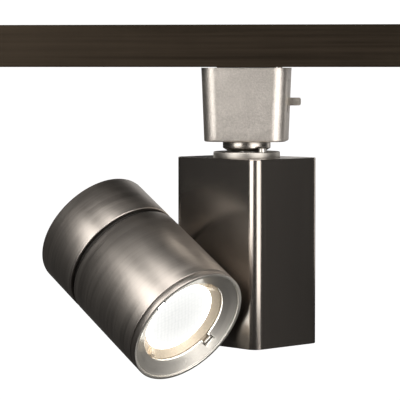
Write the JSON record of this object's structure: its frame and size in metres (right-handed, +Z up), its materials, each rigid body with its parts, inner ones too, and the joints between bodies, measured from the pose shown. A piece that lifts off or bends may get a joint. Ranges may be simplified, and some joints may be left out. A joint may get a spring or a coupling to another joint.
{
  "type": "track lighting fixture",
  "caption": "Cylindrical spot lamp that tilts on the side of an upright driver box, swivelling under a twist-in adapter on a section of track.",
  "frame": {"origin": "middle of the track's ceiling face, above the swivel axis", "axes": "+Z up out of the ceiling face, X along the track, Y across it; the lamp side of the box faces between -X and -Y at rest"},
  "size_m": [0.254, 0.1053, 0.1568],
  "materials": {
    "bronze_paint": "dark bronze satin paint on aluminium",
    "bronze_plastic": "dark bronze moulded plastic",
    "black_plastic": "black insulating plastic",
    "copper": "bare copper",
    "cast_nickel": "fine-blasted nickel on a die casting",
    "polished_nickel": "satin-polished turned nickel",
    "steel": "zinc-plated steel",
    "brushed_box": "brushed nickel on aluminium, grain up and down",
    "brushed_head": "brushed nickel on aluminium, grain around the barrel",
    "satin_trim": "turned satin nickel",
    "black_anodised": "black anodised aluminium",
    "board_white": "white solder mask on a metal-core board",
    "led_phosphor": "yellow phosphor",
    "reflector_mirror": "bright faceted reflector",
    "ring_nickel": "satin nickel lit warm by the lamp",
    "lens_glow": "frosted prismatic glass, lit from behind",
    "friction_pad": "black friction washer",
    "board_green": "green circuit board",
    "ferrite": "dark ferrite",
    "coil_tape": "yellow winding tape",
    "capacitor_sleeve": "blue shrink sleeve",
    "terminal_plastic": "green moulded terminal"
  },
  "bodies": {
    "track": {"track_channel": "bronze_paint", "insulator_front": "black_plastic", "insulator_back": "black_plastic", "conductor_front": "copper", "conductor_back": "copper", "end_cap_left": "bronze_plastic", "end_cap_right": "bronze_plastic"},
    "adapter": {"adapter_housing": "cast_nickel", "contact_carrier": "black_plastic", "contact_blade_front": "copper", "contact_blade_back": "copper", "holding_plate": "steel", "neck_collar": "polished_nickel", "swivel_stem": "steel", "stem_nut_upper": "steel", "stem_nut_lower": "steel", "swivel_washer": "steel"},
    "lock_lever": {"lock_lever": "steel"},
    "driver_box": {"swivel_flange": "polished_nickel", "flange_screws": "steel", "driver_housing": "brushed_box", "top_plate": "brushed_box", "bottom_plate": "brushed_box", "plate_screws": "steel", "driver_board": "board_green", "driver_transformer": "ferrite", "driver_coil": "coil_tape", "driver_capacitors": "capacitor_sleeve", "terminal_block": "terminal_plastic", "pivot_tube": "steel", "friction_washer": "friction_pad", "spring_washer": "steel", "pivot_nut": "steel"},
    "lamp_head": {"front_barrel": "brushed_head", "rear_cap": "brushed_head", "heat_sink": "black_anodised", "rear_screws": "steel", "pivot_boss": "brushed_head", "led_board": "board_white", "led_emitter": "led_phosphor", "reflector": "reflector_mirror", "trim_ring": "satin_trim", "lens_clips": "steel"},
    "lens_unit": {"lens_ring": "ring_nickel", "lens": "lens_glow"}
  },
  "joints": [
    {"name": "track_slide", "type": "slide", "parent": "track", "child": "adapter", "axis": [1, 0, 0], "range_m": [-0.09, 0.09]},
    {"name": "lock_slide", "type": "slide", "parent": "adapter", "child": "lock_lever", "axis": [0, 0, 1], "range_m": [-0.003, 0]},
    {"name": "swivel", "type": "hinge", "parent": "adapter", "child": "driver_box", "pos_m": [0, 0, -0.06], "axis": [0, 0, 1], "range_deg": [-135, 215]},
    {"name": "tilt", "type": "hinge", "parent": "driver_box", "child": "lamp_head", "pos_m": [-0.03336, -0.03976, -0.1221], "axis": [0.6428, 0.766, 0], "range_deg": [-32, 58]},
    {"name": "lens_twist", "type": "hinge", "parent": "lamp_head", "child": "lens_unit", "pos_m": [-0.02056, -0.0505, -0.13254], "axis": [0.6496, -0.5451, -0.5299], "range_deg": [0, 15]}
  ]
}
